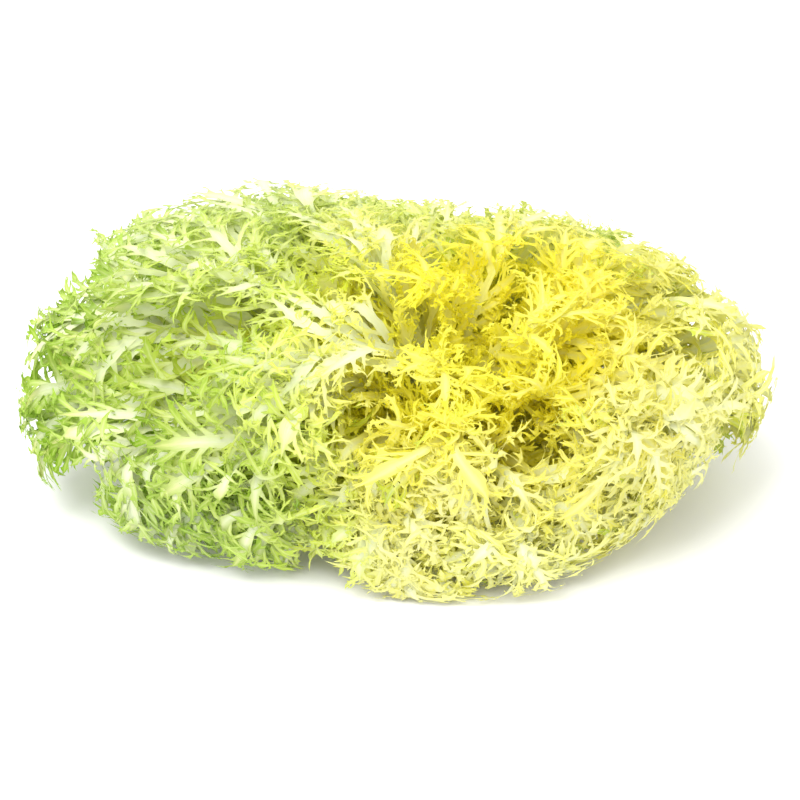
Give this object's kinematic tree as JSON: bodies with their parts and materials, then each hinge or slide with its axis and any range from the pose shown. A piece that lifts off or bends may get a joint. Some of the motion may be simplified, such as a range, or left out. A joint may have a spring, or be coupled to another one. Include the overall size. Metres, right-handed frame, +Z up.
{
  "type": "curly endive head",
  "caption": "Open head of curly endive: finely cut, curled leaves arch from a short cut stem round a yellow heart that leans to the front.",
  "frame": {"origin": "middle of the stem's cut face, on the table", "axes": "+Z up; +X and -X along the head's longest spread, with the longer, greener leaves to -X; the heart leans to -Y and +X"},
  "size_m": [0.3189, 0.2193, 0.1195],
  "materials": {
    "stem": "pale, matt cut stem with a damp sheen",
    "yellow": "thin, waxy, blanched yellow leaf that lets light through",
    "pale": "thin, waxy, yellow-green leaf with a white rib",
    "green": "thin, waxy green leaf with a white rib"
  },
  "bodies": {
    "root": {"stem": "stem", "heart_leaf_01": "yellow", "heart_leaf_02": "yellow", "heart_leaf_03": "yellow", "inner_leaf_a_01": "yellow", "inner_leaf_a_02": "yellow", "inner_leaf_a_03": "yellow", "inner_leaf_a_04": "yellow", "inner_leaf_a_05": "yellow", "inner_leaf_b_01": "yellow", "inner_leaf_b_02": "yellow", "inner_leaf_b_03": "yellow", "inner_leaf_b_04": "yellow", "inner_leaf_b_05": "yellow", "inner_leaf_b_06": "yellow", "inner_leaf_b_07": "yellow", "middle_leaf_a_01": "pale", "middle_leaf_a_02": "pale", "middle_leaf_a_03": "pale", "middle_leaf_a_04": "pale", "middle_leaf_a_05": "pale", "middle_leaf_a_06": "pale", "middle_leaf_a_07": "pale", "middle_leaf_a_08": "pale", "middle_leaf_a_09": "pale", "middle_leaf_b_01": "pale", "middle_leaf_b_02": "pale", "middle_leaf_b_03": "pale", "middle_leaf_b_04": "pale", "middle_leaf_b_05": "pale", "middle_leaf_b_06": "pale", "middle_leaf_b_07": "pale", "middle_leaf_b_08": "pale", "middle_leaf_b_09": "pale", "middle_leaf_b_10": "pale", "outer_leaf_a_01": "green", "outer_leaf_a_02": "green", "outer_leaf_a_03": "green", "outer_leaf_a_04": "green", "outer_leaf_a_05": "green", "outer_leaf_a_06": "green", "outer_leaf_a_07": "green", "outer_leaf_a_08": "green", "outer_leaf_a_09": "green", "outer_leaf_a_10": "green", "outer_leaf_a_11": "green", "outer_leaf_a_12": "green", "outer_leaf_b_01": "green", "outer_leaf_b_02": "green", "outer_leaf_b_03": "green", "outer_leaf_b_04": "green", "outer_leaf_b_05": "green", "outer_leaf_b_06": "green", "outer_leaf_b_07": "green", "outer_leaf_b_08": "green", "outer_leaf_b_09": "green", "outer_leaf_b_10": "green", "outer_leaf_b_11": "green", "outer_leaf_b_12": "green", "outer_leaf_b_13": "green"}
  },
  "joints": []
}
